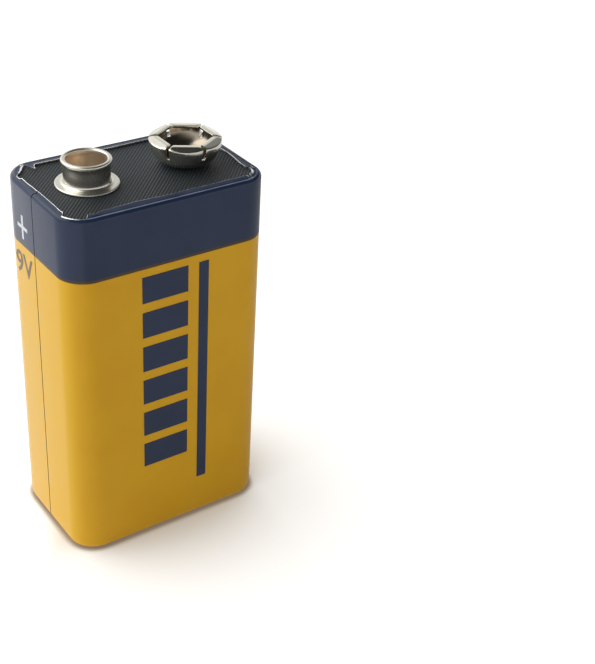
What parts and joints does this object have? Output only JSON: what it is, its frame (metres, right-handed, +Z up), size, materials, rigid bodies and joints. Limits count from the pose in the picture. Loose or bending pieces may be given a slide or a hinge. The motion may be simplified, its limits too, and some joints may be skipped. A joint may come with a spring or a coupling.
{
  "type": "nine volt battery",
  "caption": "Upright rectangular nine volt battery in a folded tinplate jacket, with a round snap stud and a slit hexagonal snap socket riveted to a black fibre board on top.",
  "frame": {"origin": "centre of the base, on the surface that the battery stands on", "axes": "+Z up towards the terminals, X along the width with the positive stud on -X, Y along the depth, front printed face towards -Y"},
  "size_m": [0.026, 0.0168, 0.0485],
  "materials": {
    "yellow_lacquer": "glossy golden yellow lacquer",
    "navy_print": "glossy dark navy print",
    "white_print": "glossy white print",
    "black_fibre": "black pressed fibre board, fine diagonal weave",
    "base_plate": "plain black moulded plate",
    "nickel_plate": "bright warm nickel plate on pressed steel",
    "rivet_brass": "tarnished plated brass",
    "nickel_strip": "plain nickel strip",
    "cell_can": "nickel plated steel can",
    "fibre_card": "plain fibre card",
    "liner_film": "thin milky film"
  },
  "bodies": {
    "root": {"base_insulator": "fibre_card", "base_plate": "base_plate", "base_strap_1": "nickel_strip", "base_strap_2": "nickel_strip", "base_strap_3": "nickel_strip", "cell_1": "cell_can", "cell_2": "cell_can", "cell_3": "cell_can", "cell_4": "cell_can", "cell_5": "cell_can", "cell_6": "cell_can", "cell_liner": "liner_film", "dark_band": "navy_print", "front_bars": "navy_print", "front_stripe": "navy_print", "jacket": "yellow_lacquer", "negative_lead": "nickel_strip", "negative_rivet": "rivet_brass", "negative_socket": "nickel_plate", "plus_mark": "white_print", "positive_lead": "nickel_strip", "positive_rivet": "rivet_brass", "positive_stud": "nickel_plate", "terminal_board": "black_fibre", "top_insulator": "fibre_card", "top_strap_1": "nickel_strip", "top_strap_2": "nickel_strip"}
  },
  "joints": []
}
